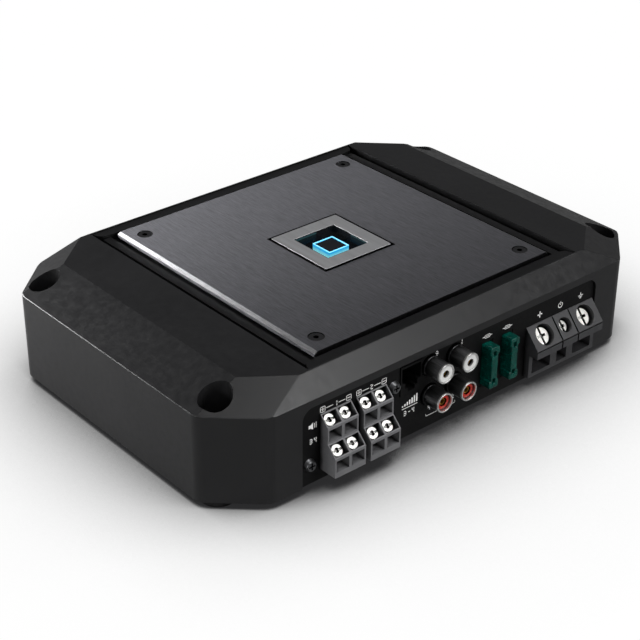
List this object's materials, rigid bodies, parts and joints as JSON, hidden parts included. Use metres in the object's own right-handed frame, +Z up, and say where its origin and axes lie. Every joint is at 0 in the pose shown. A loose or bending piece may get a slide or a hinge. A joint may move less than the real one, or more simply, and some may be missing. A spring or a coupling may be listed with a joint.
{
  "type": "car audio power amplifier",
  "caption": "Compact four-channel car amplifier, black die-cast housing, brushed dark top plate, square badge with a blue light ring, terminals on one side.",
  "frame": {"origin": "Centre of the four mounting holes, on the plane that the bosses rest on", "axes": "+X along the connector panel towards the power terminals, -Y out of the connector panel, +Z up"},
  "size_m": [0.23, 0.1652, 0.0505],
  "materials": {
    "cast_black": "satin",
    "trim_black": "satin",
    "anodised": "brushed",
    "dark_steel": "satin",
    "bezel_silver": "satin",
    "gloss_black": "gloss",
    "blue_light": "gloss",
    "board_green": "satin",
    "panel_black": "satin",
    "block_grey": "matte",
    "nickel": "polished",
    "white_plastic": "gloss",
    "red_plastic": "gloss",
    "fuse_green": "gloss",
    "knob_black": "matte",
    "copper_winding": "gloss",
    "sleeve_black": "satin"
  },
  "bodies": {
    "chassis": {"housing": "cast_black", "housing_corners": "cast_black", "centre_cover": "trim_black", "top_plate": "anodised", "plate_screws": "dark_steel", "badge_bezel": "bezel_silver", "badge_base": "gloss_black", "light_ring": "blue_light", "badge_cap": "gloss_black", "connector_panel": "panel_black", "case_screws": "dark_steel", "speaker_block_left": "block_grey", "speaker_block_right": "block_grey", "power_block": "block_grey", "level_socket": "panel_black", "rca_body": "panel_black", "rca_shells": "nickel", "rca_inserts_white": "white_plastic", "rca_inserts_red": "red_plastic", "fuse_holder": "panel_black", "control_panel": "panel_black", "potentiometers": "dark_steel", "slide_switches": "dark_steel", "bottom_cover": "panel_black", "circuit_board": "board_green", "power_transformer": "copper_winding", "output_inductors": "copper_winding", "capacitors": "sleeve_black", "transistors": "panel_black", "clamp_bars": "dark_steel"},
    "speaker_screw_1": {"speaker_screw_1": "nickel"},
    "speaker_screw_2": {"speaker_screw_2": "nickel"},
    "speaker_screw_3": {"speaker_screw_3": "nickel"},
    "speaker_screw_4": {"speaker_screw_4": "nickel"},
    "speaker_screw_5": {"speaker_screw_5": "nickel"},
    "speaker_screw_6": {"speaker_screw_6": "nickel"},
    "speaker_screw_7": {"speaker_screw_7": "nickel"},
    "speaker_screw_8": {"speaker_screw_8": "nickel"},
    "speaker_clamp_1": {"speaker_clamp_1": "nickel"},
    "speaker_clamp_2": {"speaker_clamp_2": "nickel"},
    "speaker_clamp_3": {"speaker_clamp_3": "nickel"},
    "speaker_clamp_4": {"speaker_clamp_4": "nickel"},
    "speaker_clamp_5": {"speaker_clamp_5": "nickel"},
    "speaker_clamp_6": {"speaker_clamp_6": "nickel"},
    "speaker_clamp_7": {"speaker_clamp_7": "nickel"},
    "speaker_clamp_8": {"speaker_clamp_8": "nickel"},
    "power_screw_1": {"power_screw_1": "nickel"},
    "power_screw_2": {"power_screw_2": "nickel"},
    "power_screw_3": {"power_screw_3": "nickel"},
    "power_clamp_1": {"power_clamp_1": "nickel"},
    "power_clamp_2": {"power_clamp_2": "nickel"},
    "power_clamp_3": {"power_clamp_3": "nickel"},
    "fuse_left": {"fuse_left": "fuse_green"},
    "fuse_right": {"fuse_right": "fuse_green"},
    "gain_knob_1": {"gain_knob_1": "knob_black"},
    "gain_knob_2": {"gain_knob_2": "knob_black"},
    "crossover_knob_1": {"crossover_knob_1": "knob_black"},
    "crossover_knob_2": {"crossover_knob_2": "knob_black"},
    "filter_slider_1": {"filter_slider_1": "white_plastic"},
    "filter_slider_2": {"filter_slider_2": "white_plastic"}
  },
  "joints": [
    {"name": "speaker_screw_1_turn", "type": "hinge", "parent": "chassis", "child": "speaker_screw_1", "pos_m": [-0.0672, -0.0787, 0.03], "axis": [0, 0.7071, -0.7071], "range_deg": [0, 1440]},
    {"name": "speaker_clamp_1_rise", "type": "slide", "parent": "chassis", "child": "speaker_clamp_1", "axis": [0, -0.7071, 0.7071], "range_m": [0, 0.002]},
    {"name": "speaker_screw_2_turn", "type": "hinge", "parent": "chassis", "child": "speaker_screw_2", "pos_m": [-0.0596, -0.0787, 0.03], "axis": [0, 0.7071, -0.7071], "range_deg": [0, 1440]},
    {"name": "speaker_clamp_2_rise", "type": "slide", "parent": "chassis", "child": "speaker_clamp_2", "axis": [0, -0.7071, 0.7071], "range_m": [0, 0.002]},
    {"name": "speaker_screw_3_turn", "type": "hinge", "parent": "chassis", "child": "speaker_screw_3", "pos_m": [-0.0672, -0.0831, 0.0186], "axis": [0, 0.7071, -0.7071], "range_deg": [0, 1440]},
    {"name": "speaker_clamp_3_rise", "type": "slide", "parent": "chassis", "child": "speaker_clamp_3", "axis": [0, -0.7071, 0.7071], "range_m": [0, 0.002]},
    {"name": "speaker_screw_4_turn", "type": "hinge", "parent": "chassis", "child": "speaker_screw_4", "pos_m": [-0.0596, -0.0831, 0.0186], "axis": [0, 0.7071, -0.7071], "range_deg": [0, 1440]},
    {"name": "speaker_clamp_4_rise", "type": "slide", "parent": "chassis", "child": "speaker_clamp_4", "axis": [0, -0.7071, 0.7071], "range_m": [0, 0.002]},
    {"name": "speaker_screw_5_turn", "type": "hinge", "parent": "chassis", "child": "speaker_screw_5", "pos_m": [-0.0494, -0.0787, 0.03], "axis": [0, 0.7071, -0.7071], "range_deg": [0, 1440]},
    {"name": "speaker_clamp_5_rise", "type": "slide", "parent": "chassis", "child": "speaker_clamp_5", "axis": [0, -0.7071, 0.7071], "range_m": [0, 0.002]},
    {"name": "speaker_screw_6_turn", "type": "hinge", "parent": "chassis", "child": "speaker_screw_6", "pos_m": [-0.0418, -0.0787, 0.03], "axis": [0, 0.7071, -0.7071], "range_deg": [0, 1440]},
    {"name": "speaker_clamp_6_rise", "type": "slide", "parent": "chassis", "child": "speaker_clamp_6", "axis": [0, -0.7071, 0.7071], "range_m": [0, 0.002]},
    {"name": "speaker_screw_7_turn", "type": "hinge", "parent": "chassis", "child": "speaker_screw_7", "pos_m": [-0.0494, -0.0831, 0.0186], "axis": [0, 0.7071, -0.7071], "range_deg": [0, 1440]},
    {"name": "speaker_clamp_7_rise", "type": "slide", "parent": "chassis", "child": "speaker_clamp_7", "axis": [0, -0.7071, 0.7071], "range_m": [0, 0.002]},
    {"name": "speaker_screw_8_turn", "type": "hinge", "parent": "chassis", "child": "speaker_screw_8", "pos_m": [-0.0418, -0.0831, 0.0186], "axis": [0, 0.7071, -0.7071], "range_deg": [0, 1440]},
    {"name": "speaker_clamp_8_rise", "type": "slide", "parent": "chassis", "child": "speaker_clamp_8", "axis": [0, -0.7071, 0.7071], "range_m": [0, 0.002]},
    {"name": "power_screw_1_turn", "type": "hinge", "parent": "chassis", "child": "power_screw_1", "pos_m": [0.0472, -0.0801, 0.0234], "axis": [0, 0.7593, -0.6508], "range_deg": [0, 1440]},
    {"name": "power_clamp_1_rise", "type": "slide", "parent": "chassis", "child": "power_clamp_1", "axis": [0, -0.7593, 0.6508], "range_m": [0, 0.004]},
    {"name": "power_screw_2_turn", "type": "hinge", "parent": "chassis", "child": "power_screw_2", "pos_m": [0.0596, -0.0801, 0.0234], "axis": [0, 0.7593, -0.6508], "range_deg": [0, 1440]},
    {"name": "power_clamp_2_rise", "type": "slide", "parent": "chassis", "child": "power_clamp_2", "axis": [0, -0.7593, 0.6508], "range_m": [0, 0.004]},
    {"name": "power_screw_3_turn", "type": "hinge", "parent": "chassis", "child": "power_screw_3", "pos_m": [0.072, -0.0801, 0.0234], "axis": [0, 0.7593, -0.6508], "range_deg": [0, 1440]},
    {"name": "power_clamp_3_rise", "type": "slide", "parent": "chassis", "child": "power_clamp_3", "axis": [0, -0.7593, 0.6508], "range_m": [0, 0.004]},
    {"name": "fuse_left_pull", "type": "slide", "parent": "chassis", "child": "fuse_left", "axis": [0, -1, 0], "range_m": [0, 0.02]},
    {"name": "fuse_right_pull", "type": "slide", "parent": "chassis", "child": "fuse_right", "axis": [0, -1, 0], "range_m": [0, 0.02]},
    {"name": "gain_knob_1_turn", "type": "hinge", "parent": "chassis", "child": "gain_knob_1", "pos_m": [0.058, 0.0765, 0.02], "axis": [0, 1, 0], "range_deg": [-150, 150]},
    {"name": "gain_knob_2_turn", "type": "hinge", "parent": "chassis", "child": "gain_knob_2", "pos_m": [-0.03, 0.0765, 0.02], "axis": [0, 1, 0], "range_deg": [-150, 150]},
    {"name": "crossover_knob_1_turn", "type": "hinge", "parent": "chassis", "child": "crossover_knob_1", "pos_m": [0.03, 0.0765, 0.02], "axis": [0, 1, 0], "range_deg": [-150, 150]},
    {"name": "crossover_knob_2_turn", "type": "hinge", "parent": "chassis", "child": "crossover_knob_2", "pos_m": [-0.058, 0.0765, 0.02], "axis": [0, 1, 0], "range_deg": [-150, 150]},
    {"name": "filter_slider_1_slide", "type": "slide", "parent": "chassis", "child": "filter_slider_1", "axis": [1, 0, 0], "range_m": [-0.0025, 0.0025]},
    {"name": "filter_slider_2_slide", "type": "slide", "parent": "chassis", "child": "filter_slider_2", "axis": [1, 0, 0], "range_m": [-0.0025, 0.0025]}
  ],
  "couplings": [
    {"joint": "speaker_screw_1_turn", "follows": "speaker_clamp_1_rise", "rad_per_m": 12566},
    {"joint": "speaker_screw_2_turn", "follows": "speaker_clamp_2_rise", "rad_per_m": 12566},
    {"joint": "speaker_screw_3_turn", "follows": "speaker_clamp_3_rise", "rad_per_m": 12566},
    {"joint": "speaker_screw_4_turn", "follows": "speaker_clamp_4_rise", "rad_per_m": 12566},
    {"joint": "speaker_screw_5_turn", "follows": "speaker_clamp_5_rise", "rad_per_m": 12566},
    {"joint": "speaker_screw_6_turn", "follows": "speaker_clamp_6_rise", "rad_per_m": 12566},
    {"joint": "speaker_screw_7_turn", "follows": "speaker_clamp_7_rise", "rad_per_m": 12566},
    {"joint": "speaker_screw_8_turn", "follows": "speaker_clamp_8_rise", "rad_per_m": 12566},
    {"joint": "power_screw_1_turn", "follows": "power_clamp_1_rise", "rad_per_m": 6283.2},
    {"joint": "power_screw_2_turn", "follows": "power_clamp_2_rise", "rad_per_m": 6283.2},
    {"joint": "power_screw_3_turn", "follows": "power_clamp_3_rise", "rad_per_m": 6283.2}
  ]
}
